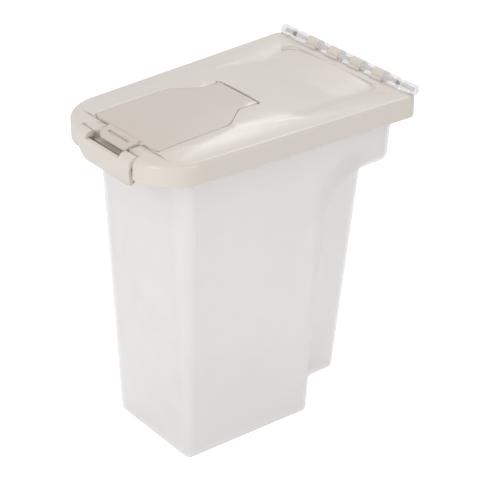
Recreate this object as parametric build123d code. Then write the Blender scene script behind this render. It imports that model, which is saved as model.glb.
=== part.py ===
from build123d import *
from math import sqrt
import os

# Dry pet food bin with a grip web at the back, a hinged lid, a pour flap and a front latch.
# Millimetres. +Z is up, +Y is towards the hinge, X is symmetric. Heights are above the floor.
# While the pieces are worked out, Y = 0 is the middle of the lid's rim.

# Lid rim, seen from above a rounded trapezoid with a bowed front, wider at the hinge
RIM_HEIGHT = 250.0
RIM_LENGTH = 217.7
RIM_FRONT_WIDTH = 126.0
RIM_REAR_WIDTH = 152.0
RIM_BOW_RADIUS = 300.0
RIM_FRONT_RADIUS = 36.0
RIM_REAR_RADIUS = 10.0
DECK_THICKNESS = 2.2
SKIRT_HEIGHT = 15.5
SKIRT_WALL = 2.0
RIM_EDGE_RADIUS = 2.8
FRONT_ROLL_RADIUS = 6.5

# How far the bin's mouth stands in from the lid's rim
FRONT_OVERHANG = 26.5
REAR_OVERHANG = 9.2
SIDE_OVERHANG_FRONT = 11.0
SIDE_OVERHANG_REAR = 8.5
MOUTH_FRONT_RADIUS = 14.0
MOUTH_REAR_RADIUS = 14.0

# Bin walls and the draw-in from the mouth to the floor
BIN_WALL = 1.8
BIN_FLOOR = 2.4
FRONT_DRAW = 7.5
REAR_DRAW = 10.0
SIDE_DRAW_FRONT = 9.0
SIDE_DRAW_REAR = 17.5
FRONT_CORNER_DRAW = 9.0
REAR_CORNER_DRAW = 4.0
FLOOR_EDGE_RADIUS = 3.0

# Grip recesses, one each side of the web at the back
GRIP_HEADROOM = 46.5
GRIP_FLOOR_DEPTH = 68.5
GRIP_TOP_DEPTH = 59.5
GRIP_FLOOR_SWEEP = 0.95
GRIP_TOP_SWEEP = 0.60
GRIP_CEILING_FALL = 0.08
GRIP_ARCH_RADIUS = 39.0
WEB_FLOOR_WIDTH = 27.0
WEB_TOP_WIDTH = 66.0
WEB_ROOT_RADIUS = 12.0
GRIP_EDGE_RADIUS = 5.2

# Bin flange inside the skirt, and the mouth's seal edge above it
MOUTH_DROP = 4.5
FLANGE_DROP = 9.0
FLANGE_THICKNESS = 2.2
FLANGE_GAP = 0.7
CATCH_WIDTH = 48.0
CATCH_DEPTH = 11.0
CATCH_WALL = 1.6

# Raised middle of the lid: a crowned panel between sloped sides, which sinks into a pan at the back
PANEL_SETBACK = 18.5
PANEL_CROWN_RADIUS = 540.0
PANEL_HALF_WIDTH = 70.0
PANEL_FRONT_RISE = 2.3
PANEL_BROW_SETBACK = 33.5
PANEL_BROW_RISE = 3.3
PANEL_TOP_SETBACK = 81.5
PANEL_TOP_RISE = 4.4
PANEL_HINGE_RISE = 4.3
VALLEY_SETBACK = 47.2
VALLEY_RISE = -1.1
PAN_SETBACK = 13.7
PAN_REAR_RISE = -0.3
PAN_HALF_WIDTH = 50.0
PAN_RADIUS = 10.0
PAN_START = 7.3
PAN_DRAFT = 0.5
SLOPE_FOOT_WIDTH = 110.0
SLOPE_GRADE = 3.0 / 14.0

# Gasket channel under the lid
GASKET_SLACK = 0.1
SEAL_GAP = 0.3
RIB_WALL = 1.8
RIB_CLEARANCE = 0.6
PLUG_DEPTH = 7.0
PLUG_REAR_STOP = 6.5
OUTER_RIB_DEPTH = 5.0
OUTER_RIB_REAR_STOP = 16.0

# Pour flap
FLAP_THICKNESS = 2.0
FLAP_HALF_WIDTH = 36.5
FLAP_NECK_HALF_WIDTH = 22.0
FLAP_HINGE_SETBACK = 114.2
FLAP_NECK_LENGTH = 16.0
FLAP_SHOULDER_LENGTH = 19.0
FLAP_NECK_ROOT_RADIUS = 5.0
FLAP_SHOULDER_RADIUS = 14.0
FLAP_CORNER_RADIUS = 4.0
FLAP_GAP = 0.5
FLAP_SEAT_GAP = 0.3
FLAP_SEAT_WALL = 2.0
FLAP_SEAT_MARGIN = 2.5
FLAP_BARREL_RADIUS = 2.1
FLAP_BARREL_DROP = 0.4
FLAP_BARREL_GAP = 0.7
FLAP_SNAP_SLOT = 2.0
FLAP_TRUNNION_RADIUS = 1.2
FLAP_TRUNNION_LENGTH = 2.2
TAB_WIDTH = 34.0
TAB_REACH = 11.0
TAB_THICKNESS = 2.2
TAB_DROOP = 2.6
TAB_NOSE_HEIGHT = 1.5
TAB_NOSE_SLANT = 0.8
TAB_CAMBER = 0.4
TAB_ROOT_SINK = 0.3
TAB_ROOT_RISE = 0.6
TAB_SHELF_SHARE = 0.4
TAB_LIP_SHARE = 0.75
TAB_CORNER_SHARE = 0.55
TAB_GROOVE_LENGTH = 23.0
TAB_GROOVE_WIDTH = 2.4
TAB_GROOVE_DEPTH = 1.0

# Spout opening under the flap, and the flap's plug and soft ring in it
SPOUT_HALF_WIDTH = 31.0
SPOUT_REAR_HALF_WIDTH = 17.0
SPOUT_FRONT_MARGIN = 18.0
SPOUT_REAR_MARGIN = 10.5
SPOUT_RADIUS = 8.0
SPOUT_PLUG_CLEARANCE = 2.0
SPOUT_PLUG_WALL = 1.6
SPOUT_PLUG_DROP = 4.0
FLAP_GASKET_DROP = 2.4
FLAP_GASKET_WIDTH = 1.2

# Front latch, and the hollow in the lid that it hangs in
LATCH_WIDTH = 64.0
LATCH_FOOT_WIDTH = 54.0
LATCH_PLATE = 2.6
LATCH_STANDOFF = 0.5
LATCH_AXIS_SET_IN = 5.5
LATCH_AXIS_DROP = 3.0
LATCH_BARREL_RADIUS = 2.6
LATCH_BEND_DROP = 9.0
LATCH_BOTTOM_DROP = 23.5
LATCH_FOOT_SET_IN = 3.8
LATCH_ROLL_RADIUS = 5.5
LATCH_ARM_WIDTH = 12.5
LATCH_PLATE_TOP_DROP = 4.5
LATCH_TAPER_DROP = 7.0
LATCH_CORNER_RADIUS = 3.0
LATCH_HOOK_HEIGHT = 2.4
LATCH_HOOK_GAP = 0.6
LATCH_SIDE_GAP = 0.5
LATCH_TRUNNION_RADIUS = 1.8
LATCH_TRUNNION_LENGTH = 2.6
NOTCH_FLOOR_DROP = 7.1
NOTCH_REAR_GAP = 0.4
HOLLOW_HALF_WIDTH = 20.0
HOLLOW_SKIRT_SET_IN = 7.0
CHEEK_WALL = 4.0

# Hinge row along the back
HINGE_AXIS_IN = 1.7
HINGE_AXIS_RISE = 2.0
KNUCKLE_RADIUS = 4.0
KNUCKLE_PITCH = 12.0
KNUCKLE_COUNT = 9
KNUCKLE_GAP = 0.4
ROD_RADIUS = 1.5
ROD_CLEARANCE = 0.06
ROD_WINDOW = 5.5
END_KNUCKLE = 12.0
END_WALL = 1.6
END_BRACKET = 6.5
REAR_GAP = 0.6
BRACKET_SETBACK = 3.6
BRACKET_FOOT = 8.2
BRACKET_HEEL = 2.0

# Heights and places that follow from the sizes above
DECK_BOTTOM = RIM_HEIGHT - DECK_THICKNESS
SKIRT_BOTTOM = RIM_HEIGHT - SKIRT_HEIGHT
MOUTH_TOP = RIM_HEIGHT - MOUTH_DROP
FLANGE_TOP = RIM_HEIGHT - FLANGE_DROP
FLANGE_BOTTOM = FLANGE_TOP - FLANGE_THICKNESS
RIM_FRONT = -RIM_LENGTH / 2
RIM_REAR = RIM_LENGTH / 2
MOUTH_FRONT = RIM_FRONT + FRONT_OVERHANG
MOUTH_REAR = RIM_REAR - REAR_OVERHANG
HINGE_Y = RIM_REAR - HINGE_AXIS_IN
HINGE_Z = RIM_HEIGHT + HINGE_AXIS_RISE
LATCH_Y = RIM_FRONT + LATCH_AXIS_SET_IN
LATCH_Z = RIM_HEIGHT - LATCH_AXIS_DROP
LATCH_OUTER = RIM_FRONT - LATCH_STANDOFF
PANEL_FRONT = RIM_FRONT + PANEL_SETBACK
FLAP_HINGE_Y = RIM_FRONT + FLAP_HINGE_SETBACK
FLAP_AXIS_Z = RIM_HEIGHT + PANEL_TOP_RISE - FLAP_BARREL_RADIUS - FLAP_BARREL_DROP
DECK_REAR = HINGE_Y - KNUCKLE_RADIUS - REAR_GAP
END_POST = KNUCKLE_PITCH * KNUCKLE_COUNT / 2 + ROD_WINDOW
END_POST_OUTER = END_POST + END_BRACKET
NOTCH_FLOOR = RIM_HEIGHT - NOTCH_FLOOR_DROP
NOTCH_HALF_WIDTH = LATCH_WIDTH / 2 + LATCH_SIDE_GAP
NOTCH_REAR = LATCH_Y + LATCH_BARREL_RADIUS + NOTCH_REAR_GAP
CHEEK_END = NOTCH_HALF_WIDTH + CHEEK_WALL
HOLLOW_SKIRT = RIM_FRONT + HOLLOW_SKIRT_SET_IN
CATCH_FACE = HOLLOW_SKIRT + SKIRT_WALL + FLANGE_GAP
CENTRE_SHIFT = -(LATCH_OUTER + HINGE_Y + KNUCKLE_RADIUS) / 2

# Reach of the helper blocks past what they cut, the step that keeps their faces apart, and how near
# a corner or an edge lies to the place that it is picked by
FAR = 400.0
PAST = 30.0
STEP = 1.0
TOUCH = 0.01
ON_WALL = 0.05


def plan(front, rear, front_half, rear_half, front_radius, rear_radius, inset=0.0, z=0.0):
    """Rounded trapezoid about the Y axis at height z, drawn in by inset on every side."""
    lean = (rear_half - front_half) / (rear - front)
    shrink = inset * sqrt(1 + lean**2)
    y0 = front + inset
    y1 = rear - inset
    x0 = front_half + lean * inset - shrink
    x1 = rear_half - lean * inset - shrink
    face = Polygon((-x0, y0), (x0, y0), (x1, y1), (-x1, y1), align=None)
    face = fillet(face.vertices().group_by(Axis.Y)[0], front_radius - inset)
    face = fillet(face.vertices().group_by(Axis.Y)[-1], rear_radius - inset)
    return Pos(0, 0, z) * face


def bow(inset):
    """Disc whose edge is the bowed front of the rim, drawn in by inset."""
    return Pos(0, RIM_FRONT + RIM_BOW_RADIUS) * Circle(RIM_BOW_RADIUS - inset)


def rim_plan(inset):
    """Outline of the lid's rim on the floor plane: straight sides and rear, and a bowed front."""
    lean = (RIM_REAR_WIDTH - RIM_FRONT_WIDTH) / 2 / RIM_LENGTH
    shrink = inset * sqrt(1 + lean**2)
    y0 = RIM_FRONT - RIM_EDGE_RADIUS
    y1 = RIM_REAR - inset
    x0 = RIM_FRONT_WIDTH / 2 - lean * RIM_EDGE_RADIUS - shrink
    x1 = RIM_REAR_WIDTH / 2 - lean * inset - shrink
    face = Polygon((-x0, y0), (x0, y0), (x1, y1), (-x1, y1), align=None) & bow(inset)
    face = fillet(face.vertices().group_by(Axis.Y)[0], RIM_FRONT_RADIUS - inset)
    return fillet(face.vertices().group_by(Axis.Y)[-1], RIM_REAR_RADIUS - inset)


def bin_sizes(z):
    """Front, rear, half widths and corner radii of the bin at height z: it draws in to the floor."""
    drop = 1 - z / MOUTH_TOP
    return (MOUTH_FRONT + FRONT_DRAW * drop,
            MOUTH_REAR - REAR_DRAW * drop,
            RIM_FRONT_WIDTH / 2 - SIDE_OVERHANG_FRONT - SIDE_DRAW_FRONT * drop,
            RIM_REAR_WIDTH / 2 - SIDE_OVERHANG_REAR - SIDE_DRAW_REAR * drop,
            MOUTH_FRONT_RADIUS - FRONT_CORNER_DRAW * drop,
            MOUTH_REAR_RADIUS - REAR_CORNER_DRAW * drop)


def bin_plan(inset, z):
    """Outline of the bin's outer wall, placed at height z."""
    return plan(*bin_sizes(z), inset, z)


def mouth_plan(inset):
    """Outline of the bin's mouth, on the floor plane."""
    return plan(*bin_sizes(MOUTH_TOP), inset)


def bin_half_width(y, z):
    """Half width of the bin's side wall at a place along it and a height."""
    front, rear, front_half, rear_half, _, _ = bin_sizes(z)
    return front_half + (rear_half - front_half) * (y - front) / (rear - front)


def rise(face, z0, z1):
    """Upright solid from z0 to z1 with an outline drawn on the floor plane."""
    return Pos(0, 0, z0) * extrude(face, z1 - z0, dir=(0, 0, 1))


def block(x0, x1, y0, y1, z0, z1):
    """Box between two corners."""
    return Pos((x0 + x1) / 2, (y0 + y1) / 2, (z0 + z1) / 2) * Box(x1 - x0, y1 - y0, z1 - z0)


def side_prism(points, x0, x1):
    """Solid from x0 to x1 with the given outline of (y, z) points."""
    return extrude(Plane.YZ.offset(x0) * Polygon(*points, align=None), x1 - x0, dir=(1, 0, 0))


def rod_along_x(radius, x0, x1, y, z):
    """Round bar along X."""
    return Pos((x0 + x1) / 2, y, z) * Rot(0, 90, 0) * Cylinder(radius, x1 - x0)


def both_sides(shape):
    """A right-hand shape with its left-hand twin."""
    return shape + mirror(shape, Plane.YZ)


# Bin


def web_half_width(z, grow):
    """Half width of the grip web at height z, less the wall when grow is the wall's thickness."""
    ceiling = MOUTH_TOP - GRIP_HEADROOM
    lean = (WEB_TOP_WIDTH - WEB_FLOOR_WIDTH) / 2 / ceiling
    return WEB_FLOOR_WIDTH / 2 + lean * z - grow * sqrt(1 + lean**2)


def grip_recess(grow):
    """What one grip recess takes from the bin, grown by the wall's thickness for the inside."""
    ceiling = MOUTH_TOP - GRIP_HEADROOM
    floor_edge = MOUTH_REAR - GRIP_FLOOR_DEPTH
    top_edge = MOUTH_REAR - GRIP_TOP_DEPTH
    floor_half = bin_half_width(floor_edge, 0)
    top_half = bin_half_width(top_edge, ceiling)
    low = -PAST
    rear = MOUTH_REAR + PAST

    def arch(x):
        """Recess outline seen from the side, in the plane at x."""
        foot = floor_edge + GRIP_FLOOR_SWEEP * (floor_half - x) - grow * sqrt(1 + GRIP_FLOOR_SWEEP**2)
        head = top_edge + GRIP_TOP_SWEEP * (top_half - x) - grow * sqrt(1 + GRIP_TOP_SWEEP**2)
        roof = ceiling - GRIP_CEILING_FALL * (top_half - x) + grow * sqrt(1 + GRIP_CEILING_FALL**2)
        lean = (head - foot) / roof
        outline = Polygon((foot + lean * low, low), (head, roof), (rear, roof), (rear, low), align=None)
        corner = min(outline.vertices(), key=lambda v: abs(v.X - head) + abs(v.Y - roof))
        return Plane.YZ.offset(x) * fillet(corner, GRIP_ARCH_RADIUS + grow)

    recess = loft([arch(0), arch(RIM_REAR_WIDTH)], ruled=True)
    outside = Plane.XZ * Polygon((web_half_width(low - STEP, grow), low - STEP), (FAR, low - STEP), (FAR, RIM_HEIGHT),
                                 (web_half_width(RIM_HEIGHT, grow), RIM_HEIGHT), align=None)
    recess = recess & extrude(outside, FAR, both=True)
    roots = []
    for edge in recess.edges():
        middle = edge @ 0.5
        on_web = abs(middle.X - web_half_width(middle.Z, grow)) < ON_WALL
        if on_web and middle.Z > low + STEP and middle.Y < rear - STEP:
            roots.append(edge)
    return fillet(roots, WEB_ROOT_RADIUS + grow)


def bin_form(inset, z0, z1):
    """Tapered form with both recesses, drawn in by inset: the bin's outside, or its inside."""
    form = loft([bin_plan(inset, z0), bin_plan(inset, z1)], ruled=True)
    form = form - both_sides(grip_recess(inset))
    above_ceiling = MOUTH_TOP - GRIP_HEADROOM + inset + STEP
    grip_edges = []
    for edge in form.edges():
        middle = edge @ 0.5
        beside_grip = middle.Y > 0 and z0 + STEP < middle.Z < above_ceiling
        if beside_grip and bin_plan(inset, middle.Z).wire().distance_to(middle) < ON_WALL:
            grip_edges.append(edge)
    form = fillet(grip_edges, GRIP_EDGE_RADIUS - inset)
    floor_edges = form.edges().filter_by(lambda edge: abs((edge @ 0.5).Z - z0) < TOUCH)
    return fillet(floor_edges, FLOOR_EDGE_RADIUS - inset)


def bin_shape():
    """Tapered bin with its grip web, flange, latch catch and hinge knuckles, in one moulding."""
    flange = rise(rim_plan(SKIRT_WALL + FLANGE_GAP), FLANGE_BOTTOM, FLANGE_TOP)
    flange = flange - both_sides(block(END_POST_OUTER, FAR, MOUTH_REAR - MOUTH_REAR_RADIUS, FAR, 0, FAR))
    flange = flange - block(-FAR, FAR, HINGE_Y - BRACKET_HEEL, FAR, 0, FAR)
    latch_room = CHEEK_END + FLANGE_GAP
    flange = flange - block(-latch_room, latch_room, -FAR, CATCH_FACE, 0, FAR)
    catch = block(-CATCH_WIDTH / 2, CATCH_WIDTH / 2, CATCH_FACE, CATCH_FACE + CATCH_WALL,
                  FLANGE_TOP - CATCH_DEPTH, FLANGE_TOP)
    body = bin_form(0, 0, MOUTH_TOP) + flange + catch
    body = body - bin_form(BIN_WALL, BIN_FLOOR, MOUTH_TOP + PAST)

    foot = HINGE_Y - BRACKET_FOOT
    heel = HINGE_Y - BRACKET_HEEL
    bracket = [(foot, FLANGE_BOTTOM),
               (foot, FLANGE_TOP),
               (HINGE_Y - BRACKET_SETBACK, FLANGE_TOP),
               (HINGE_Y - BRACKET_SETBACK, HINGE_Z),
               (HINGE_Y, HINGE_Z),
               (HINGE_Y + KNUCKLE_RADIUS / 2, HINGE_Z - KNUCKLE_RADIUS / 2),
               (heel, FLANGE_BOTTOM)]
    body = body + block(-END_POST_OUTER, END_POST_OUTER, foot, heel, FLANGE_BOTTOM, FLANGE_TOP)
    for index in range(0, KNUCKLE_COUNT, 2):
        x0, x1 = knuckle_span(index)
        body = body + side_prism(bracket, x0, x1) + rod_along_x(KNUCKLE_RADIUS, x0, x1, HINGE_Y, HINGE_Z)
    end_post = side_prism(bracket, END_POST, END_POST_OUTER)
    end_post = end_post + rod_along_x(KNUCKLE_RADIUS, END_POST, END_POST + END_KNUCKLE, HINGE_Y, HINGE_Z)
    body = body + both_sides(end_post)
    bore_end = END_POST + END_KNUCKLE - END_WALL
    return body - rod_along_x(ROD_RADIUS + ROD_CLEARANCE, -bore_end, bore_end, HINGE_Y, HINGE_Z)


def knuckle_span(index):
    """Ends in X of one knuckle of the middle row, counted from the left."""
    start = (index - KNUCKLE_COUNT / 2) * KNUCKLE_PITCH
    return start + KNUCKLE_GAP / 2, start + KNUCKLE_PITCH - KNUCKLE_GAP / 2


def hinge_rod():
    """Straight rod that both rows of knuckles turn on."""
    reach = END_POST + END_KNUCKLE - END_WALL - KNUCKLE_GAP
    return rod_along_x(ROD_RADIUS, -reach, reach, HINGE_Y, HINGE_Z)


# Lid


def rim_form(inset, bottom, depth):
    """Rim as a full solid, drawn in by inset and lowered by depth, with a rounded top edge and a rolled front."""
    top = RIM_HEIGHT - depth
    form = rise(rim_plan(inset), bottom, top)
    form = fillet(form.faces().sort_by(Axis.Z)[-1].edges(), RIM_EDGE_RADIUS - inset)
    roll = rise(bow(inset), bottom - STEP, top)
    roll = fillet(roll.faces().sort_by(Axis.Z)[-1].edges(), FRONT_ROLL_RADIUS - inset)
    return form & roll


def raised_middle(depth):
    """Solid under the crowned panel and its sloped sides, with its surface lowered by depth."""
    low = SKIRT_BOTTOM + STEP
    crown = PANEL_HALF_WIDTH**2 / 2 / PANEL_CROWN_RADIUS
    stations = [(PANEL_FRONT, PANEL_FRONT_RISE),
                (RIM_FRONT + PANEL_BROW_SETBACK, PANEL_BROW_RISE),
                (RIM_FRONT + PANEL_TOP_SETBACK, PANEL_TOP_RISE),
                (FLAP_HINGE_Y, PANEL_HINGE_RISE),
                (RIM_REAR - VALLEY_SETBACK, VALLEY_RISE),
                (RIM_REAR - PAN_SETBACK, PAN_REAR_RISE),
                (DECK_REAR - REAR_GAP, PAN_REAR_RISE)]
    sections = []
    for y, height in stations:
        top = RIM_HEIGHT + height - depth
        arc = ThreePointArc((-PANEL_HALF_WIDTH, top - crown), (0, top), (PANEL_HALF_WIDTH, top - crown))
        sides = Polyline((PANEL_HALF_WIDTH, top - crown), (PANEL_HALF_WIDTH, low),
                         (-PANEL_HALF_WIDTH, low), (-PANEL_HALF_WIDTH, top - crown))
        sections.append(Plane.XZ.offset(-y) * make_face((arc + sides).edges()))
    panel = loft(sections, ruled=True)
    foot = SLOPE_FOOT_WIDTH / 2
    edge = RIM_HEIGHT - depth * sqrt(1 + SLOPE_GRADE**2)
    slopes = Plane.XZ * Polygon((-foot, low - STEP), (foot, low - STEP), (foot, edge), (0, edge + foot * SLOPE_GRADE),
                                (-foot, edge), align=None)
    slopes = extrude(slopes, FAR, both=True)
    return panel & slopes & block(-FAR, FAR, PANEL_FRONT + depth, FAR, 0, FAR)


def pan(depth):
    """Sunk middle at the back of the lid, with drafted walls, grown by depth."""
    front = FLAP_HINGE_Y + PAN_START
    rear = RIM_REAR - PAN_SETBACK
    reach = SKIRT_HEIGHT / 2
    top = RIM_HEIGHT - depth
    sizes = (front, rear, PAN_HALF_WIDTH, PAN_HALF_WIDTH, PAN_RADIUS, PAN_RADIUS)
    upper = plan(*sizes, -depth - reach * PAN_DRAFT, top + reach)
    lower = plan(*sizes, reach * PAN_DRAFT - depth, top - reach)
    return loft([lower, upper], ruled=True)


def below_surface(depth):
    """Everything under the lid's upper surface, with that surface lowered by depth."""
    ledge = block(-RIM_REAR_WIDTH, RIM_REAR_WIDTH, -RIM_LENGTH, RIM_LENGTH, SKIRT_BOTTOM + STEP, RIM_HEIGHT - depth)
    return ledge - pan(depth) + raised_middle(depth)


def flap_outline(grow):
    """Flap seen from above, without its tab, grown by the gap for its pocket."""
    half = FLAP_HALF_WIDTH + grow
    neck = FLAP_NECK_HALF_WIDTH + grow
    front = PANEL_FRONT + FLAP_GAP - grow
    shoulder = FLAP_HINGE_Y - FLAP_NECK_LENGTH + grow / 2
    side = shoulder - FLAP_SHOULDER_LENGTH
    rear = FLAP_HINGE_Y
    face = Polygon((neck, rear), (neck, shoulder), (half, side), (half, front),
                   (-half, front), (-half, side), (-neck, shoulder), (-neck, rear), align=None)
    face = fillet(face.vertices().filter_by(lambda v: abs(v.Y - shoulder) < TOUCH), FLAP_NECK_ROOT_RADIUS)
    face = fillet(face.vertices().filter_by(lambda v: abs(v.Y - side) < TOUCH), FLAP_SHOULDER_RADIUS)
    return fillet(face.vertices().filter_by(lambda v: abs(v.Y - front) < TOUCH), FLAP_CORNER_RADIUS)


def spout_plan(inset):
    """Outline of the spout opening, narrower towards the flap's hinge."""
    return plan(PANEL_FRONT + SPOUT_FRONT_MARGIN, FLAP_HINGE_Y - SPOUT_REAR_MARGIN,
                SPOUT_HALF_WIDTH, SPOUT_REAR_HALF_WIDTH, SPOUT_RADIUS, SPOUT_RADIUS, inset)


def latch_hollow(side_wall, rear_wall, z0, z1):
    """Room for the latch's arms, and for a fingertip between them, grown by the walls round it."""
    wide = NOTCH_HALF_WIDTH + side_wall
    narrow = HOLLOW_HALF_WIDTH + rear_wall
    arms = block(-wide, wide, -FAR, NOTCH_REAR + rear_wall, z0, z1)
    return arms + block(-narrow, narrow, -FAR, PANEL_FRONT + rear_wall, z0, z1)


def lid_shape():
    """Lid with its skirt, raised middle, flap pocket, seal channel, latch hollow and knuckles."""
    outside = rim_form(0, SKIRT_BOTTOM, 0)
    inside = rim_form(SKIRT_WALL, SKIRT_BOTTOM - PAST, DECK_THICKNESS)
    lid = outside - pan(0) + raised_middle(0)
    lid = lid - (inside - pan(DECK_THICKNESS) + raised_middle(DECK_THICKNESS))

    seat_drop = FLAP_THICKNESS + FLAP_SEAT_GAP
    barrel_room = FLAP_BARREL_RADIUS + FLAP_BARREL_GAP
    mid_surface = below_surface(DECK_THICKNESS / 2)
    seat = mid_surface - below_surface(seat_drop + FLAP_SEAT_WALL)
    seat = seat & rise(flap_outline(FLAP_GAP + FLAP_SEAT_MARGIN), 0, FAR)
    trough_half = FLAP_NECK_HALF_WIDTH + FLAP_TRUNNION_LENGTH + FLAP_SEAT_WALL
    trough = block(-trough_half, trough_half,
                   FLAP_HINGE_Y - barrel_room - FLAP_SEAT_WALL,
                   FLAP_HINGE_Y + barrel_room + FLAP_SEAT_WALL,
                   FLAP_AXIS_Z - barrel_room - FLAP_SEAT_WALL, FAR)
    lid = lid + seat + (trough & mid_surface)

    channel_out = -RIB_CLEARANCE
    channel_in = BIN_WALL + RIB_CLEARANCE
    outer_face = mouth_plan(channel_out - RIB_WALL)
    inner_face = mouth_plan(channel_in + RIB_WALL)
    land = rise(outer_face - inner_face, DECK_BOTTOM, FAR) & mid_surface
    plug = rise(mouth_plan(channel_in) - inner_face, DECK_BOTTOM - PLUG_DEPTH, DECK_BOTTOM)
    plug = plug - block(-FAR, FAR, MOUTH_REAR - PLUG_REAR_STOP, FAR, 0, FAR)
    outer_rib = rise(outer_face - mouth_plan(channel_out), DECK_BOTTOM - OUTER_RIB_DEPTH, DECK_BOTTOM)
    outer_rib = outer_rib - block(-FAR, FAR, MOUTH_REAR - OUTER_RIB_REAR_STOP, FAR, 0, FAR)
    channel = rise(mouth_plan(channel_out) - mouth_plan(channel_in), SKIRT_BOTTOM, DECK_BOTTOM)
    lid = lid - channel + land + plug + outer_rib

    pocket = rise(flap_outline(FLAP_GAP), SKIRT_BOTTOM + 2 * STEP, FAR) - below_surface(seat_drop)
    lid = lid - pocket - rise(spout_plan(0), 0, FAR)
    neck = FLAP_NECK_HALF_WIDTH + FLAP_GAP
    lid = lid - rod_along_x(barrel_room, -neck, neck, FLAP_HINGE_Y, FLAP_AXIS_Z)
    lid = lid - block(-neck, neck, FLAP_HINGE_Y - barrel_room, FLAP_HINGE_Y + barrel_room, FLAP_AXIS_Z, FAR)
    socket = FLAP_NECK_HALF_WIDTH + FLAP_TRUNNION_LENGTH + FLAP_SEAT_GAP
    lid = lid - rod_along_x(FLAP_TRUNNION_RADIUS + ROD_CLEARANCE, -socket, socket, FLAP_HINGE_Y, FLAP_AXIS_Z)
    lid = lid - block(-socket, socket, FLAP_HINGE_Y - FLAP_SNAP_SLOT / 2, FLAP_HINGE_Y + FLAP_SNAP_SLOT / 2,
                      FLAP_AXIS_Z, FAR)

    floor_bottom = FLANGE_TOP + FLANGE_GAP
    housing = latch_hollow(CHEEK_WALL, RIB_WALL, floor_bottom, DECK_BOTTOM + DECK_THICKNESS / 2)
    housing = housing - block(-FAR, FAR, PANEL_FRONT, FAR, RIM_HEIGHT - seat_drop - FLAP_SEAT_WALL / 2, FAR)
    skirt = block(-CHEEK_END, CHEEK_END, HOLLOW_SKIRT, HOLLOW_SKIRT + SKIRT_WALL, SKIRT_BOTTOM, NOTCH_FLOOR)
    cheek = block(NOTCH_HALF_WIDTH, CHEEK_END, RIM_FRONT, HOLLOW_SKIRT + SKIRT_WALL,
                  SKIRT_BOTTOM, DECK_BOTTOM + DECK_THICKNESS / 2)
    lid = lid + ((housing + skirt + both_sides(cheek)) & outside)
    lid = lid - latch_hollow(0, 0, NOTCH_FLOOR, FAR)
    lid = lid - block(-NOTCH_HALF_WIDTH, NOTCH_HALF_WIDTH, -FAR, HOLLOW_SKIRT, 0, FAR)
    latch_socket = NOTCH_HALF_WIDTH + LATCH_TRUNNION_LENGTH
    lid = lid - rod_along_x(LATCH_TRUNNION_RADIUS + ROD_CLEARANCE, -latch_socket, latch_socket, LATCH_Y, LATCH_Z)

    rear_cut = END_POST_OUTER + REAR_GAP
    knuckle_room = KNUCKLE_RADIUS + REAR_GAP
    lid = lid - block(-rear_cut, rear_cut, DECK_REAR, FAR, 0, FAR)
    scoop = rod_along_x(knuckle_room, rear_cut - REAR_GAP, END_POST + END_KNUCKLE + REAR_GAP, HINGE_Y, HINGE_Z)
    lid = lid - both_sides(scoop)
    for index in range(1, KNUCKLE_COUNT, 2):
        x0, x1 = knuckle_span(index)
        arm = block(x0, x1, DECK_REAR - RIB_WALL, HINGE_Y, DECK_BOTTOM, HINGE_Z)
        lid = lid + arm + rod_along_x(KNUCKLE_RADIUS, x0, x1, HINGE_Y, HINGE_Z)
    return lid - rod_along_x(ROD_RADIUS + ROD_CLEARANCE, -END_POST, END_POST, HINGE_Y, HINGE_Z)


def lid_gasket():
    """Soft ring in the lid's channel, just above the bin's mouth."""
    channel_out = -RIB_CLEARANCE + GASKET_SLACK
    channel_in = BIN_WALL + RIB_CLEARANCE - GASKET_SLACK
    return rise(mouth_plan(channel_out) - mouth_plan(channel_in), MOUTH_TOP + SEAL_GAP, DECK_BOTTOM)


# Pour flap


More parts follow.
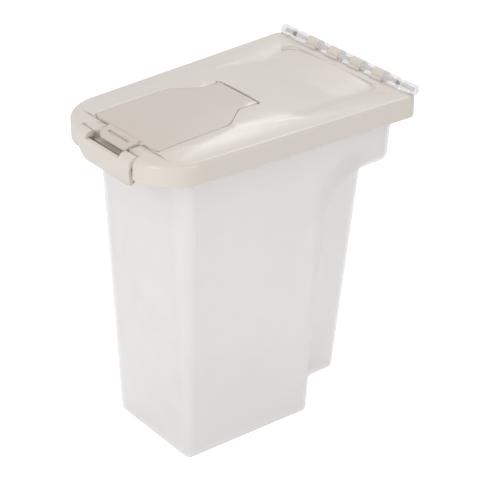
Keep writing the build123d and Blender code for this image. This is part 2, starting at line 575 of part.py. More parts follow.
def pour_flap():
    """Flap that follows the lid's surface, with its drooping thumb tab, plug and hinge barrel."""
    under = below_surface(FLAP_THICKNESS)
    flap = (below_surface(0) - under) & rise(flap_outline(0), SKIRT_BOTTOM + 2 * STEP, FAR)
    root = PANEL_FRONT + 2 * FLAP_GAP
    tip = PANEL_FRONT - TAB_REACH
    shelf = PANEL_FRONT - TAB_REACH * TAB_SHELF_SHARE
    lip = PANEL_FRONT - TAB_REACH * TAB_LIP_SHARE
    profile = [(root, RIM_HEIGHT + PANEL_FRONT_RISE - TAB_ROOT_SINK),
               (shelf, RIM_HEIGHT + TAB_CAMBER),
               (lip, RIM_HEIGHT - TAB_CAMBER),
               (tip, RIM_HEIGHT - TAB_DROOP),
               (tip + TAB_NOSE_SLANT, RIM_HEIGHT - TAB_DROOP - TAB_NOSE_HEIGHT),
               (lip, RIM_HEIGHT - TAB_THICKNESS - TAB_CAMBER),
               (shelf, RIM_HEIGHT - TAB_THICKNESS + TAB_CAMBER),
               (root, RIM_HEIGHT - TAB_THICKNESS + TAB_ROOT_RISE)]
    outline = Polygon((-TAB_WIDTH / 2, root), (TAB_WIDTH / 2, root), (TAB_WIDTH / 2, tip),
                      (-TAB_WIDTH / 2, tip), align=None)
    outline = fillet(outline.vertices().group_by(Axis.Y)[0], TAB_REACH * TAB_CORNER_SHARE)
    tab = side_prism(profile, -TAB_WIDTH / 2, TAB_WIDTH / 2) & rise(outline, 0, FAR)
    groove = block(-TAB_GROOVE_LENGTH / 2, TAB_GROOVE_LENGTH / 2, shelf - TAB_GROOVE_WIDTH / 2,
                   shelf + TAB_GROOVE_WIDTH / 2, RIM_HEIGHT + TAB_CAMBER - TAB_GROOVE_DEPTH, FAR)
    flap = flap + (tab - groove)
    plug_bottom = RIM_HEIGHT - SPOUT_PLUG_DROP
    ring = spout_plan(SPOUT_PLUG_CLEARANCE) - spout_plan(SPOUT_PLUG_CLEARANCE + SPOUT_PLUG_WALL)
    plug = rise(ring, plug_bottom, FAR) & below_surface(FLAP_THICKNESS / 2)
    barrel = rod_along_x(FLAP_BARREL_RADIUS, -FLAP_NECK_HALF_WIDTH, FLAP_NECK_HALF_WIDTH,
                         FLAP_HINGE_Y, FLAP_AXIS_Z)
    trunnion = FLAP_NECK_HALF_WIDTH + FLAP_TRUNNION_LENGTH
    pins = rod_along_x(FLAP_TRUNNION_RADIUS, -trunnion, trunnion, FLAP_HINGE_Y, FLAP_AXIS_Z)
    return flap + plug + barrel + pins


def flap_gasket():
    """Soft ring round the flap's plug, which fills the gap to the spout's edge."""
    ring = spout_plan(SPOUT_PLUG_CLEARANCE - FLAP_GASKET_WIDTH) - spout_plan(SPOUT_PLUG_CLEARANCE)
    return rise(ring, RIM_HEIGHT - FLAP_GASKET_DROP, FAR) & below_surface(FLAP_THICKNESS)


# Latch


def front_latch():
    """Snap latch: a plate in front of the skirt that rolls over into two arms in the lid's hollow."""
    half = LATCH_WIDTH / 2
    foot = LATCH_FOOT_WIDTH / 2
    top = LATCH_Z + LATCH_BARREL_RADIUS
    bend = RIM_HEIGHT - LATCH_BEND_DROP
    bottom = RIM_HEIGHT - LATCH_BOTTOM_DROP
    inner = LATCH_OUTER + LATCH_PLATE
    toe = LATCH_OUTER + LATCH_FOOT_SET_IN
    section = Polygon((LATCH_Y, top), (LATCH_OUTER, top), (LATCH_OUTER, bend), (toe, bottom),
                      (toe + LATCH_PLATE, bottom), (inner, bend), (inner, top - LATCH_PLATE),
                      (LATCH_Y, top - LATCH_PLATE), align=None)
    outer_corner = section.vertices().filter_by(
        lambda v: abs(v.X - LATCH_OUTER) < TOUCH and abs(v.Y - top) < TOUCH)
    section = fillet(outer_corner, LATCH_ROLL_RADIUS)
    inner_corner = section.vertices().filter_by(
        lambda v: abs(v.X - inner) < TOUCH and abs(v.Y - top + LATCH_PLATE) < TOUCH)
    section = fillet(inner_corner, LATCH_ROLL_RADIUS - LATCH_PLATE)
    strip = extrude(Plane.YZ.offset(-half) * section, LATCH_WIDTH, dir=(1, 0, 0))
    strip = strip + rod_along_x(LATCH_BARREL_RADIUS, -half, half, LATCH_Y, LATCH_Z)
    taper = RIM_HEIGHT - LATCH_TAPER_DROP
    face = Polygon((-foot, bottom), (foot, bottom), (half, taper), (half, RIM_HEIGHT), (-half, RIM_HEIGHT),
                   (-half, taper), align=None)
    face = fillet(face.vertices().group_by(Axis.Y)[0], LATCH_CORNER_RADIUS)
    strip = strip & extrude(Plane.XZ * face, FAR, both=True)
    gap_half = half - LATCH_ARM_WIDTH
    strip = strip - block(-gap_half, gap_half, -FAR, FAR, RIM_HEIGHT - LATCH_PLATE_TOP_DROP, FAR)
    strip = strip - block(-gap_half, gap_half, inner + REAR_GAP, FAR, bend, FAR)
    hook = block(-CATCH_WIDTH / 2, CATCH_WIDTH / 2, toe + LATCH_PLATE / 2, CATCH_FACE - LATCH_HOOK_GAP,
                 bottom, bottom + LATCH_HOOK_HEIGHT)
    pin_end = NOTCH_HALF_WIDTH + LATCH_TRUNNION_LENGTH - FLAP_SEAT_GAP
    pin = rod_along_x(LATCH_TRUNNION_RADIUS, half - LATCH_ARM_WIDTH / 2, pin_end, LATCH_Y, LATCH_Z)
    return strip + hook + both_sides(pin)


PIECES = {
    "bin": bin_shape,
    "lid": lid_shape,
    "lid_gasket": lid_gasket,
    "pour_flap": pour_flap,
    "flap_gasket": flap_gasket,
    "front_latch": front_latch,
    "hinge_rod": hinge_rod,
}

os.makedirs("parts", exist_ok=True)
for name, make in PIECES.items():
    export_step(Pos(0, CENTRE_SHIFT, 0) * make(), f"parts/{name}.step")
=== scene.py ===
"""Dry pet food bin: moulded plastics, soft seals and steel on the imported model, in a pale studio."""

import logging
import math
from dataclasses import dataclass, field
from enum import Enum

import bmesh
import bpy
import numpy as np
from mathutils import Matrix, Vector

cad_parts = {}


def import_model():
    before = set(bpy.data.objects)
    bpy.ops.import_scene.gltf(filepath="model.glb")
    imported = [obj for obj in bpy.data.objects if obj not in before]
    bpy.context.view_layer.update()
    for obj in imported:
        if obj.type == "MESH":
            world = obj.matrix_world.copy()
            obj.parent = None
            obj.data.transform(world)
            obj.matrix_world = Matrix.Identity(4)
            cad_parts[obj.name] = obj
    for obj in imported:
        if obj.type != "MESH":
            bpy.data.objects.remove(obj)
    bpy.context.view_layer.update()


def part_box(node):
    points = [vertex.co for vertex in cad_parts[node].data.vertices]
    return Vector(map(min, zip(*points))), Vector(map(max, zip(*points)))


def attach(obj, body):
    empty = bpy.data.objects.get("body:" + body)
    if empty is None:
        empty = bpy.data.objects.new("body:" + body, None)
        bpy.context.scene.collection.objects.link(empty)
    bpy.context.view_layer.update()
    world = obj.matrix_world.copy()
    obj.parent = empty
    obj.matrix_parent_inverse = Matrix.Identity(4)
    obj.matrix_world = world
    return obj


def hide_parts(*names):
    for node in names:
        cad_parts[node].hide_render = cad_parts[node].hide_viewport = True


logging.basicConfig(level=logging.INFO, format="%(name)s: %(message)s")
log = logging.getLogger("food_bin")

MM = 0.001
WHITE = "ffffff"

# Middle band of a noise texture, where nearly all of its values lie
NOISE_LOW = 0.3
NOISE_HIGH = 0.7

# Mould relief and the smears of handling, in millimetres
RELIEF_HEIGHT = 0.05
SMEAR_PITCH = 14.0
SMEAR_DRAW = 0.35

# Corners nearer than this are one corner, in millimetres
GRID_WELD = 0.001
CAD_WELD = 0.002

# Edges sharper than this stay sharp, in degrees
MOULDING_CREASE = 30.0
ROD_CREASE = 40.0
SEAL_CREASE = 50.0


# Colours and nodes


def srgb(code: str) -> tuple[float, float, float, float]:
    """Turns an sRGB hex colour to linear light.

    Args:
        code: Six hex digits, such as "d9d2ca".

    Returns:
        Red, green, blue and an alpha of one, in linear light.
    """
    channels = [int(code[i:i + 2], 16) / 255 for i in (0, 2, 4)]
    linear = [c / 12.92 if c <= 0.04045 else ((c + 0.055) / 1.055) ** 2.4 for c in channels]
    return (*linear, 1.0)


def add_node(tree: bpy.types.NodeTree, kind: str, settings: dict | None = None,
             links: dict | None = None) -> bpy.types.Node:
    """Adds one shader node with its settings and incoming links.

    Args:
        tree: The material's or world's node tree.
        kind: The node's type name, such as "ShaderNodeTexNoise".
        settings: Node properties by name, and values of input sockets by socket name or index.
        links: Output sockets of other nodes by input socket name or index.

    Returns:
        The new node.
    """
    node = tree.nodes.new(kind)
    for key, value in (settings or {}).items():
        if isinstance(key, str) and hasattr(node, key):
            setattr(node, key, value)
        else:
            node.inputs[key].default_value = value
    for key, socket in (links or {}).items():
        tree.links.new(socket, node.inputs[key])
    return node


def new_material(name: str) -> tuple[bpy.types.Material, bpy.types.NodeTree]:
    """Makes an empty node material.

    Args:
        name: The material's name, in a maker's words.

    Returns:
        The material and its cleared node tree.
    """
    material = bpy.data.materials.new(name)
    material.use_nodes = True
    material.node_tree.nodes.clear()
    return material, material.node_tree


class Grain(Enum):
    """Mould textures by the size of their grain in millimetres."""

    SATIN = 0.9
    POLISHED = 2.4
    MATT = 0.6


def moulded_skin(tree: bpy.types.NodeTree, grain: Grain, depth: float, roughness: float,
                 spread: float) -> tuple[bpy.types.NodeSocket, bpy.types.NodeSocket]:
    """Adds the fine relief of the mould's face and the uneven gloss that handling leaves.

    Args:
        tree: The material's node tree.
        grain: The mould's texture.
        depth: Strength of the relief.
        roughness: Middle roughness of the skin.
        spread: How far handling changes the roughness each way.

    Returns:
        The normal and the roughness sockets.
    """
    place = add_node(tree, "ShaderNodeTexCoord")
    relief = add_node(tree, "ShaderNodeTexNoise",
                      {"Scale": 1 / (grain.value * MM), "Detail": 3.0, "Roughness": 0.6},
                      {"Vector": place.outputs["Object"]})
    bump = add_node(tree, "ShaderNodeBump", {"Strength": depth, "Distance": RELIEF_HEIGHT * MM},
                    {"Height": relief.outputs["Fac"]})
    # Smears from hands and shelves are drawn out upwards
    stretch = add_node(tree, "ShaderNodeMapping", {"Scale": (1.0, 1.0, SMEAR_DRAW)},
                       {"Vector": place.outputs["Object"]})
    smears = add_node(tree, "ShaderNodeTexNoise",
                      {"Scale": 1 / (SMEAR_PITCH * MM), "Detail": 4.0, "Distortion": 0.6},
                      {"Vector": stretch.outputs["Vector"]})
    gloss = add_node(tree, "ShaderNodeMapRange",
                     {"From Min": NOISE_LOW, "From Max": NOISE_HIGH,
                      "To Min": roughness - spread, "To Max": roughness + spread},
                     {"Value": smears.outputs["Fac"]})
    return bump.outputs["Normal"], gloss.outputs["Result"]


# Finishes


@dataclass(frozen=True)
class NaturalPolypropylene:
    """Unpigmented polypropylene, injection moulded: milky and half see-through.

    The eye sees a pale haze. Light passes through it and comes out soft, walls behind show as faint bands,
    and the polished mould leaves a satin gloss with a slight orange peel.
    """

    haze: str = "f5f4f4"
    glow: str = "f7f6f6"
    clear: str = "fbfafa"
    roughness: float = 0.30
    glow_share: float = 0.30
    clear_share: float = 0.48
    clear_spread: float = 0.03
    cloud_pitch: float = 70.0
    relief: float = 0.05
    smear: float = 0.02
    ior: float = 1.49

    def build(self) -> bpy.types.Material:
        """Builds the milky see-through material."""
        material, tree = new_material("natural_polypropylene_moulded")
        normal, gloss = moulded_skin(tree, Grain.POLISHED, self.relief, self.roughness, self.smear)
        place = add_node(tree, "ShaderNodeTexCoord")
        # The melt's flow leaves the haze a little denser in wide clouds
        flow = add_node(tree, "ShaderNodeTexNoise", {"Scale": 1 / (self.cloud_pitch * MM), "Detail": 2.0},
                        {"Vector": place.outputs["Object"]})
        share = add_node(tree, "ShaderNodeMapRange",
                         {"From Min": NOISE_LOW, "From Max": NOISE_HIGH,
                          "To Min": self.clear_share - self.clear_spread,
                          "To Max": self.clear_share + self.clear_spread},
                         {"Value": flow.outputs["Fac"]})
        skin = add_node(tree, "ShaderNodeBsdfPrincipled",
                        {"Base Color": srgb(self.haze), "IOR": self.ior, "Specular IOR Level": 0.5},
                        {"Normal": normal, "Roughness": gloss})
        glow = add_node(tree, "ShaderNodeBsdfTranslucent", {"Color": srgb(self.glow)}, {"Normal": normal})
        body = add_node(tree, "ShaderNodeMixShader", {"Fac": self.glow_share},
                        {1: skin.outputs["BSDF"], 2: glow.outputs["BSDF"]})
        through = add_node(tree, "ShaderNodeBsdfTransparent", {"Color": srgb(self.clear)})
        mixed = add_node(tree, "ShaderNodeMixShader", {},
                         {0: share.outputs["Result"], 1: body.outputs["Shader"], 2: through.outputs["BSDF"]})
        add_node(tree, "ShaderNodeOutputMaterial", links={"Surface": mixed.outputs["Shader"]})
        return material


@dataclass(frozen=True)
class PearlPolypropylene:
    """Pigmented polypropylene with fine pearl flake, injection moulded to a satin gloss.

    The flake is painted as pale specks in the colour, partly its own pale tone and partly painted glints,
    and the melt's flow shows as a faint darker cloud. A darker copy of the colour paints shade on the flap.
    """

    name: str
    colour: str = "d8d1c9"
    flow: str = "d2cac1"
    flake_and_glint: str = "e2dcd5"
    roughness: float = 0.33
    cloud_pitch: float = 60.0
    flake_pitch: float = 0.7
    flake_edge: float = 0.35
    flake_and_glint_share: float = 0.35
    relief: float = 0.10
    smear: float = 0.05
    coat: float = 0.12
    coat_roughness: float = 0.25
    ior: float = 1.49

    def build(self) -> bpy.types.Material:
        """Builds the pearly opaque material."""
        material, tree = new_material(self.name)
        normal, gloss = moulded_skin(tree, Grain.SATIN, self.relief, self.roughness, self.smear)
        place = add_node(tree, "ShaderNodeTexCoord")
        clouds = add_node(tree, "ShaderNodeTexNoise", {"Scale": 1 / (self.cloud_pitch * MM), "Detail": 3.0},
                          {"Vector": place.outputs["Object"]})
        tint = add_node(tree, "ShaderNodeMix",
                        {"data_type": "RGBA", 6: srgb(self.colour), 7: srgb(self.flow)},
                        {0: clouds.outputs["Fac"]})
        # Real flake is finer than a pixel, so its cells are drawn larger than they are, and painted pale in
        # the colour, partly as flake tone and partly as painted glints
        cells = add_node(tree, "ShaderNodeTexVoronoi", {"Scale": 1 / (self.flake_pitch * MM)},
                         {"Vector": place.outputs["Object"]})
        flake_painted_glint = add_node(tree, "ShaderNodeMapRange",
                         {"From Min": 0.0, "From Max": self.flake_edge,
                          "To Min": self.flake_and_glint_share, "To Max": 0.0},
                         {"Value": cells.outputs["Distance"]})
        pearl = add_node(tree, "ShaderNodeMix", {"data_type": "RGBA", 7: srgb(self.flake_and_glint)},
                         {0: flake_painted_glint.outputs["Result"], 6: tint.outputs[2]})
        skin = add_node(tree, "ShaderNodeBsdfPrincipled",
                        {"IOR": self.ior, "Coat Weight": self.coat, "Coat Roughness": self.coat_roughness},
                        {"Base Color": pearl.outputs[2], "Normal": normal, "Roughness": gloss})
        add_node(tree, "ShaderNodeOutputMaterial", links={"Surface": skin.outputs["BSDF"]})
        return material


@dataclass(frozen=True)
class SoftElastomer:
    """Soft thermoplastic elastomer of the seals, moulded: pale, matt, with dust that clings in specks."""

    colour: str = "d5d3cf"
    dust: str = "c4c0b8"
    roughness: float = 0.62
    relief: float = 0.2
    smear: float = 0.06
    speck_pitch: float = 2.5
    speck_low: float = 0.55
    speck_high: float = 0.75
    dust_share: float = 0.5
    sheen: float = 0.15
    ior: float = 1.47

    def build(self) -> bpy.types.Material:
        """Builds the seal's material."""
        material, tree = new_material("soft_elastomer_seal")
        normal, gloss = moulded_skin(tree, Grain.MATT, self.relief, self.roughness, self.smear)
        place = add_node(tree, "ShaderNodeTexCoord")
        specks = add_node(tree, "ShaderNodeTexNoise", {"Scale": 1 / (self.speck_pitch * MM), "Detail": 5.0},
                          {"Vector": place.outputs["Object"]})
        cling = add_node(tree, "ShaderNodeMapRange",
                         {"From Min": self.speck_low, "From Max": self.speck_high,
                          "To Min": 0.0, "To Max": self.dust_share},
                         {"Value": specks.outputs["Fac"]})
        tint = add_node(tree, "ShaderNodeMix",
                        {"data_type": "RGBA", 6: srgb(self.colour), 7: srgb(self.dust)},
                        {0: cling.outputs["Result"]})
        skin = add_node(tree, "ShaderNodeBsdfPrincipled", {"IOR": self.ior, "Sheen Weight": self.sheen},
                        {"Base Color": tint.outputs[2], "Normal": normal, "Roughness": gloss})
        add_node(tree, "ShaderNodeOutputMaterial", links={"Surface": skin.outputs["BSDF"]})
        return material


@dataclass(frozen=True)
class DrawnSteel:
    """Cold drawn steel wire: bright, with fine die lines along its length."""

    colour: str = "b9bab9"
    line: str = "9c9d9d"
    roughness: float = 0.30
    line_pitch: float = 0.25
    line_draw: float = 0.02
    line_depth: float = 0.02
    relief: float = 0.15

    def build(self) -> bpy.types.Material:
        """Builds the rod's material."""
        material, tree = new_material("drawn_steel_rod")
        place = add_node(tree, "ShaderNodeTexCoord")
        # Die lines run along X
        drawn = add_node(tree, "ShaderNodeMapping", {"Scale": (self.line_draw, 1.0, 1.0)},
                         {"Vector": place.outputs["Object"]})
        lines = add_node(tree, "ShaderNodeTexNoise", {"Scale": 1 / (self.line_pitch * MM), "Detail": 2.0},
                         {"Vector": drawn.outputs["Vector"]})
        bump = add_node(tree, "ShaderNodeBump", {"Strength": self.relief, "Distance": self.line_depth * MM},
                        {"Height": lines.outputs["Fac"]})
        tint = add_node(tree, "ShaderNodeMix",
                        {"data_type": "RGBA", 6: srgb(self.colour), 7: srgb(self.line)},
                        {0: lines.outputs["Fac"]})
        skin = add_node(tree, "ShaderNodeBsdfPrincipled", {"Metallic": 1.0, "Roughness": self.roughness},
                        {"Base Color": tint.outputs[2], "Normal": bump.outputs["Normal"]})
        add_node(tree, "ShaderNodeOutputMaterial", links={"Surface": skin.outputs["BSDF"]})
        return material


# Surfaces


def grid_mesh(name: str, points: np.ndarray, wrap_u: bool, wrap_v: bool) -> bpy.types.Mesh:
    """Puts a grid of points into a mesh of four-sided faces.

    Args:
        name: The mesh's name.
        points: Places in metres, in the shape (rows, columns, 3).
        wrap_u: Whether the last row joins the first.
        wrap_v: Whether the last column joins the first.

    Returns:
        The mesh, with faces turned outwards.
    """
    rows, columns = points.shape[:2]
    u = np.arange(rows if wrap_u else rows - 1)[:, None]
    v = np.arange(columns if wrap_v else columns - 1)[None, :]
    u_next = (u + 1) % rows
    v_next = (v + 1) % columns
    corners = [u * columns + v, u_next * columns + v, u_next * columns + v_next, u * columns + v_next]
    faces = np.stack([c.ravel() for c in corners], axis=1)
    mesh = bpy.data.meshes.new(name)
    mesh.from_pydata(points.reshape(-1, 3).tolist(), [], faces.tolist())
    form = bmesh.new()
    form.from_mesh(mesh)
    bmesh.ops.remove_doubles(form, verts=form.verts, dist=GRID_WELD * MM)
    bmesh.ops.recalc_face_normals(form, faces=form.faces)
    form.to_mesh(mesh)
    form.free()
    mesh.shade_smooth()
    return mesh


def rounded_loop(front: float, rear: float, front_half: float, rear_half: float, radius: float,
                 arc_steps: int) -> tuple[np.ndarray, np.ndarray]:
    """Rounded trapezoid seen from above, as points with outward normals.

    At each corner the arc's centre lies one radius inside both sides. A point on the arc is the centre plus
    the radius times its normal, whose angle goes evenly from one side's normal to the next.

    Args:
        front: Place of the front side along Y in millimetres.
        rear: Place of the rear side along Y.
        front_half: Half width at the front.
        rear_half: Half width at the rear.
        radius: Corner radius.
        arc_steps: Points on each corner's arc.

    Returns:
        The points and the normals, each in the shape (4 * arc_steps, 2).
    """
    lean = math.atan2(rear_half - front_half, rear - front)
    turns = np.radians([-90.0, 0.0, 90.0, 180.0, 270.0]) + np.array([0.0, -lean, 0.0, lean, 0.0])
    corners = np.array([[front_half, front], [rear_half, rear], [-rear_half, rear], [-front_half, front]])
    points, normals = [], []
    for corner, first, last in zip(corners, turns[:-1], turns[1:]):
        sides = np.array([[math.cos(first), math.sin(first)], [math.cos(last), math.sin(last)]])
        centre = np.linalg.solve(sides, sides @ corner - radius)
        angle = np.linspace(first, last, arc_steps)
        normal = np.stack([np.cos(angle), np.sin(angle)], axis=1)
        points.append(centre + radius * normal)
        normals.append(normal)
    return np.concatenate(points), np.concatenate(normals)


def carried_ring(points: np.ndarray, normals: np.ndarray, profile: np.ndarray,
                 height: float) -> np.ndarray:
    """Carries a seal's profile round a loop.

    Each surface point is the loop's point plus the profile's reach along the loop's normal, and its height
    is the loop's height plus the profile's height.

    Args:
        points: The loop, seen from above, in millimetres.
        normals: Its outward normals.
        profile: Reach and height of each profile point.
        height: Height of the profile's zero.

    Returns:
        The surface's points in metres, in the shape (loop, profile, 3).
    """
    flat = points[:, None, :] + normals[:, None, :] * profile[None, :, :1]
    up = np.broadcast_to(height + profile[:, 1], flat.shape[:2])
    return np.concatenate([flat, up[:, :, None]], axis=2) * MM


# Pieces


def settle(piece: bpy.types.Object, body: str, node: str) -> bpy.types.Object:
    """Links a piece, lets it ride on its body and stand for its CAD node, and reports it.

    Args:
        piece: The piece.
        body: The body it rides on.
        node: The CAD node that it stands for.

    Returns:
        The piece.
    """
    bpy.context.scene.collection.objects.link(piece)
    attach(piece, body)
    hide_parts(node)
    log.info("%s rides on %s: %d faces", piece.name, body, len(piece.data.polygons))
    return piece


def moulded_copy(node: str, name: str, material: bpy.types.Material, body: str) -> bpy.types.Object:
    """Makes a joined, smooth-shaded piece with a CAD node's own shape, which stands for that node.

    Args:
        node: The CAD node.
        name: The new piece's name.
        material: Its finish.
        body: The body it rides on.

    Returns:
        The new piece.
    """
    mesh = bpy.data.objects[node].data.copy()
    mesh.name = name
    form = bmesh.new()
    form.from_mesh(mesh)
    bmesh.ops.remove_doubles(form, verts=form.verts, dist=CAD_WELD * MM)
    form.to_mesh(mesh)
    form.free()
    mesh.materials.clear()
    mesh.materials.append(material)
    mesh.shade_smooth()
    mesh.set_sharp_from_angle(angle=math.radians(MOULDING_CREASE))
    piece = bpy.data.objects.new(name, mesh)
    weighted = piece.modifiers.new("face_weighted", "WEIGHTED_NORMAL")
    weighted.keep_sharp = True
    return settle(piece, body, node)


@dataclass
class BinAssembly:
    """The tapered bin and the steel rod that both rows of knuckles turn on."""

    dome: float = 0.5
    dome_steps: int = 8
    ring_steps: int = 48
    parts: list[bpy.types.Object] = field(default_factory=list)

    def build(self, skin: bpy.types.Material, steel: bpy.types.Material) -> None:
        """Builds the bin and the rod.

        Args:
            skin: The bin's finish.
            steel: The rod's finish.
        """
        self.parts.append(moulded_copy("bin", "bin_moulding", skin, "bin"))
        rod = bpy.data.objects.new("hinge_rod_steel", self.rod_mesh())
        rod.data.materials.append(steel)
        self.parts.append(settle(rod, "bin", "hinge_rod"))

    def rod_mesh(self) -> bpy.types.Mesh:
        """Turns the rod about its axis: its radius is full but falls off in a quarter circle at each end.

        Returns:
            The rod's mesh.
        """
        low, high = (np.array(corner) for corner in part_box("hinge_rod"))
        radius = (high[2] - low[2]) / 2
        centre = (low + high) / 2
        dome = self.dome * MM
        turn = np.linspace(0, math.pi / 2, self.dome_steps)
        end_x = np.append(low[0], low[0] + dome * (1 - np.cos(turn)))
        end_r = np.append(0.0, radius - dome * (1 - np.sin(turn)))
        x = np.concatenate([end_x, 2 * centre[0] - end_x[::-1]])
        r = np.concatenate([end_r, end_r[::-1]])
        angle = np.linspace(0, 2 * math.pi, self.ring_steps, endpoint=False)
        points = np.stack([np.broadcast_to(x[:, None], (len(x), len(angle))),
                           centre[1] + r[:, None] * np.cos(angle),
                           centre[2] + r[:, None] * np.sin(angle)], axis=2)
        mesh = grid_mesh("hinge_rod_steel", points, False, True)
        mesh.set_sharp_from_angle(angle=math.radians(ROD_CREASE))
        return mesh


@dataclass
class LidAssembly:
    """The lid and the soft ring in its channel, over the bin's mouth."""

    mouth_front: float = -83.25
    mouth_rear: float = 98.75
    mouth_front_half: float = 52.0
    mouth_rear_half: float = 67.5
    mouth_radius: float = 14.0
    ring_out: float = 0.45
    ring_in: float = 2.25
    ring_top_gap: float = 0.02
    ring_steps: int = 17
    bead: float = 0.35
    arc_steps: int = 14
    parts: list[bpy.types.Object] = field(default_factory=list)

    def build(self, skin: bpy.types.Material, seal: bpy.types.Material) -> None:
        """Builds the lid and its ring.

        Args:
            skin: The lid's finish.
            seal: The ring's finish.
        """
        self.parts.append(moulded_copy("lid", "lid_moulding", skin, "lid"))
        ring = bpy.data.objects.new("lid_gasket_ring", self.ring_mesh())
        ring.data.materials.append(seal)
        self.parts.append(settle(ring, "lid", "lid_gasket"))

    def ring_mesh(self) -> bpy.types.Mesh:
        """Carries a flat-topped profile with two beads below, which the mouth presses between.

        The lower edge is raised by a bead's height, less that height times the squared sine of two half
        turns over the way across, so that two beads reach down to the ring's foot.

        Returns:
            The ring's mesh.
        """
        low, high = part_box("lid_gasket")
        bottom, top = low[2] / MM, high[2] / MM - self.ring_top_gap
        across = np.linspace(-self.ring_in, self.ring_out, self.ring_steps)
        share = (across + self.ring_in) / (self.ring_out + self.ring_in)
        under = bottom - top + self.bead * (1 - np.sin(2 * math.pi * share) ** 2)
        profile = np.concatenate([np.stack([across, under], axis=1),
                                  [[self.ring_out, 0.0], [-self.ring_in, 0.0]]])
        points, normals = rounded_loop(self.mouth_front, self.mouth_rear, self.mouth_front_half,
                                       self.mouth_rear_half, self.mouth_radius, self.arc_steps)
        surface = carried_ring(points, normals, profile, top)
        mesh = grid_mesh("lid_gasket_ring", surface, True, True)
        mesh.set_sharp_from_angle(angle=math.radians(SEAL_CREASE))
        return mesh


@dataclass
class FlapAssembly:
    """The pour flap and the soft wiper round its plug."""

    spout_front: float = -73.25
    spout_rear: float = -6.05
    spout_front_half: float = 31.0
    spout_rear_half: float = 17.0
    spout_radius: float = 8.0
    wiper_out: float = -0.85
    wiper_in: float = 1.95
    wiper_height: float = 3.2
    wiper_lift: float = 0.05
    wiper_steps: int = 25
    lips: int = 2
    lip_reach: float = 0.5
    arc_steps: int = 12
    parts: list[bpy.types.Object] = field(default_factory=list)

    def build(self, skin: bpy.types.Material, seal: bpy.types.Material) -> None:
        """Builds the flap and its wiper.

        Args:
            skin: The flap's finish.
            seal: The wiper's finish.
        """
        self.parts.append(moulded_copy("pour_flap", "pour_flap_moulding", skin, "flap"))
        ring = bpy.data.objects.new("flap_gasket_ring", self.wiper_mesh())
        ring.data.materials.append(seal)
        self.parts.append(settle(ring, "flap", "flap_gasket"))

    def wiper_mesh(self) -> bpy.types.Mesh:
        """Carries a wiper profile: its outer face swells into lips, as a rectified sine of the way up.

        Returns:
            The wiper's mesh.
        """
        low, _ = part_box("flap_gasket")
        bottom = low[2] / MM + self.wiper_lift
        rise = np.linspace(0.0, self.wiper_height, self.wiper_steps)
        lip = np.abs(np.sin(math.pi * self.lips * rise / self.wiper_height))
        swell = self.wiper_out - self.lip_reach * (1 - lip)
        profile = np.concatenate([np.stack([swell, rise], axis=1),
                                  [[-self.wiper_in, self.wiper_height], [-self.wiper_in, 0.0]]])
        points, normals = rounded_loop(self.spout_front, self.spout_rear, self.spout_front_half,
                                       self.spout_rear_half, self.spout_radius, self.arc_steps)
        surface = carried_ring(points, normals, profile, bottom)
        mesh = grid_mesh("flap_gasket_ring", surface, True, True)
        mesh.set_sharp_from_angle(angle=math.radians(SEAL_CREASE))
        return mesh


@dataclass
class LatchAssembly:
    """The snap latch at the front."""

    parts: list[bpy.types.Object] = field(default_factory=list)

    def build(self, skin: bpy.types.Material) -> None:
        """Builds the latch.

        Args:
            skin: The latch's finish.
        """
        latch = moulded_copy("front_latch", "front_latch_moulding", skin, "latch")
        self.parts.append(latch)


# Studio


@dataclass(frozen=True)
class Lamp:
    """A soft square lamp that looks at the bin."""

    name: str
    place: tuple[float, float, float]
    size: float
    power: float
    aim_height: float = 0.15

    def build(self) -> None:
        """Hangs the lamp and turns it to the bin's middle."""
        lamp = bpy.data.lights.new(self.name, "AREA")
        lamp.size = self.size
        lamp.energy = self.power
        holder = bpy.data.objects.new(self.name, lamp)
        holder.location = self.place
        aim = np.array([0.0, 0.0, self.aim_height]) - np.array(self.place)
        flat = math.hypot(aim[0], aim[1])
        holder.rotation_euler = (math.atan2(flat, -aim[2]), 0.0, math.atan2(aim[0], -aim[1]) + math.pi)
        bpy.context.scene.collection.objects.link(holder)


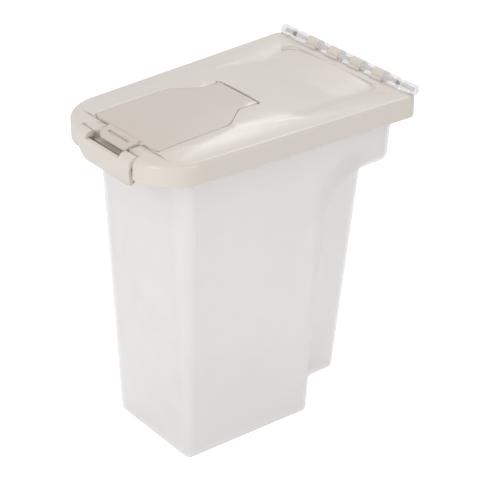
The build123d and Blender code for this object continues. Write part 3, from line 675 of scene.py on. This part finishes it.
@dataclass(frozen=True)
class Studio:
    """Pale floor, soft lamps and the camera of the photograph."""

    azimuth: float = 51.6
    elevation: float = 29.6
    focal_px: float = 1768.0
    distance: float = 1299.6
    target: tuple[float, float, float] = (-0.47, 16.08, 123.5)
    image_px: float = 500.0
    sensor: float = 36.0
    view_depth: float = 20.0
    floor_reach: float = 4.0
    paper: str = "f4f4f4"
    floor_lift: float = 0.42
    sky: float = 0.59
    lamps: tuple[Lamp, ...] = (Lamp("key", (0.1, -1.7, 0.9), 1.3, 13.8),
                               Lamp("side", (1.9, 0.0, 1.0), 1.3, 9.0),
                               Lamp("back", (-0.95, 1.25, 1.85), 0.7, 10.0))

    def build(self) -> None:
        """Sets the camera, the lamps, the floor and the world."""
        self.camera()
        self.floor()
        self.world()
        for lamp in self.lamps:
            lamp.build()
        bpy.context.scene.view_settings.view_transform = "Standard"

    def camera(self) -> None:
        """Puts the camera at the photograph's view."""
        az, el = math.radians(self.azimuth), math.radians(self.elevation)
        back = np.array([math.sin(az) * math.cos(el), -math.cos(az) * math.cos(el), math.sin(el)])
        lens = bpy.data.cameras.new("camera")
        lens.sensor_width = self.sensor
        lens.lens = self.focal_px / self.image_px * self.sensor
        lens.clip_end = self.view_depth
        camera = bpy.data.objects.new("camera", lens)
        camera.location = (np.array(self.target) + back * self.distance) * MM
        camera.rotation_euler = (math.pi / 2 - el, 0.0, az)
        bpy.context.scene.collection.objects.link(camera)
        bpy.context.scene.camera = camera

    def floor(self) -> None:
        """Lays the white paper, which the camera sees a little lifted, so that it reads as white."""
        reach = self.floor_reach
        mesh = bpy.data.meshes.new("floor")
        mesh.from_pydata([(-reach, -reach, 0), (reach, -reach, 0), (reach, reach, 0), (-reach, reach, 0)],
                         [], [(0, 1, 2, 3)])
        floor = bpy.data.objects.new("floor", mesh)
        bpy.context.scene.collection.objects.link(floor)
        material, tree = new_material("white_paper_floor")
        paper = add_node(tree, "ShaderNodeBsdfDiffuse", {"Color": srgb(self.paper)})
        path = add_node(tree, "ShaderNodeLightPath")
        seen = add_node(tree, "ShaderNodeMath", {"operation": "MAXIMUM"},
                        {0: path.outputs["Is Camera Ray"], 1: path.outputs["Is Transmission Ray"]})
        lift = add_node(tree, "ShaderNodeMath", {"operation": "MULTIPLY", 1: self.floor_lift},
                        {0: seen.outputs["Value"]})
        glow = add_node(tree, "ShaderNodeEmission", {"Color": srgb(WHITE)},
                        {"Strength": lift.outputs["Value"]})
        both = add_node(tree, "ShaderNodeAddShader", {},
                        {0: paper.outputs["BSDF"], 1: glow.outputs["Emission"]})
        add_node(tree, "ShaderNodeOutputMaterial", links={"Surface": both.outputs["Shader"]})
        mesh.materials.append(material)

    def world(self) -> None:
        """Sets the soft room light, which the camera and reflections see as white."""
        world = bpy.data.worlds.new("studio")
        world.use_nodes = True
        tree = world.node_tree
        tree.nodes.clear()
        path = add_node(tree, "ShaderNodeLightPath")
        seen = add_node(tree, "ShaderNodeMath", {"operation": "MAXIMUM"},
                        {0: path.outputs["Is Camera Ray"], 1: path.outputs["Is Transmission Ray"]})
        white = add_node(tree, "ShaderNodeMath", {"operation": "MAXIMUM"},
                         {0: seen.outputs["Value"], 1: path.outputs["Is Glossy Ray"]})
        strength = add_node(tree, "ShaderNodeMapRange", {"To Min": self.sky, "To Max": 1.0},
                            {"Value": white.outputs["Value"]})
        room = add_node(tree, "ShaderNodeBackground", {"Color": srgb(WHITE)},
                        {"Strength": strength.outputs["Result"]})
        add_node(tree, "ShaderNodeOutputWorld", links={"Surface": room.outputs["Background"]})
        bpy.context.scene.world = world


def main() -> None:
    """Builds the studio, then every assembly."""
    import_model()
    Studio().build()
    milky = NaturalPolypropylene().build()
    pearl = PearlPolypropylene("pearl_polypropylene_lid").build()
    # The flap's copy is darker than the lid's: painted shade, for the flap that reads darker than the lid
    # where the light falls
    pearl_flap_painted_shade = PearlPolypropylene("pearl_polypropylene_flap_painted_shade", colour="cec4bb", flow="c8beb4",
                                    flake_and_glint="d8cfc6").build()
    seal = SoftElastomer().build()
    steel = DrawnSteel().build()
    BinAssembly().build(milky, steel)
    LidAssembly().build(pearl, seal)
    FlapAssembly().build(pearl_flap_painted_shade, seal)
    LatchAssembly().build(pearl)


if __name__ == "__main__":
    main()
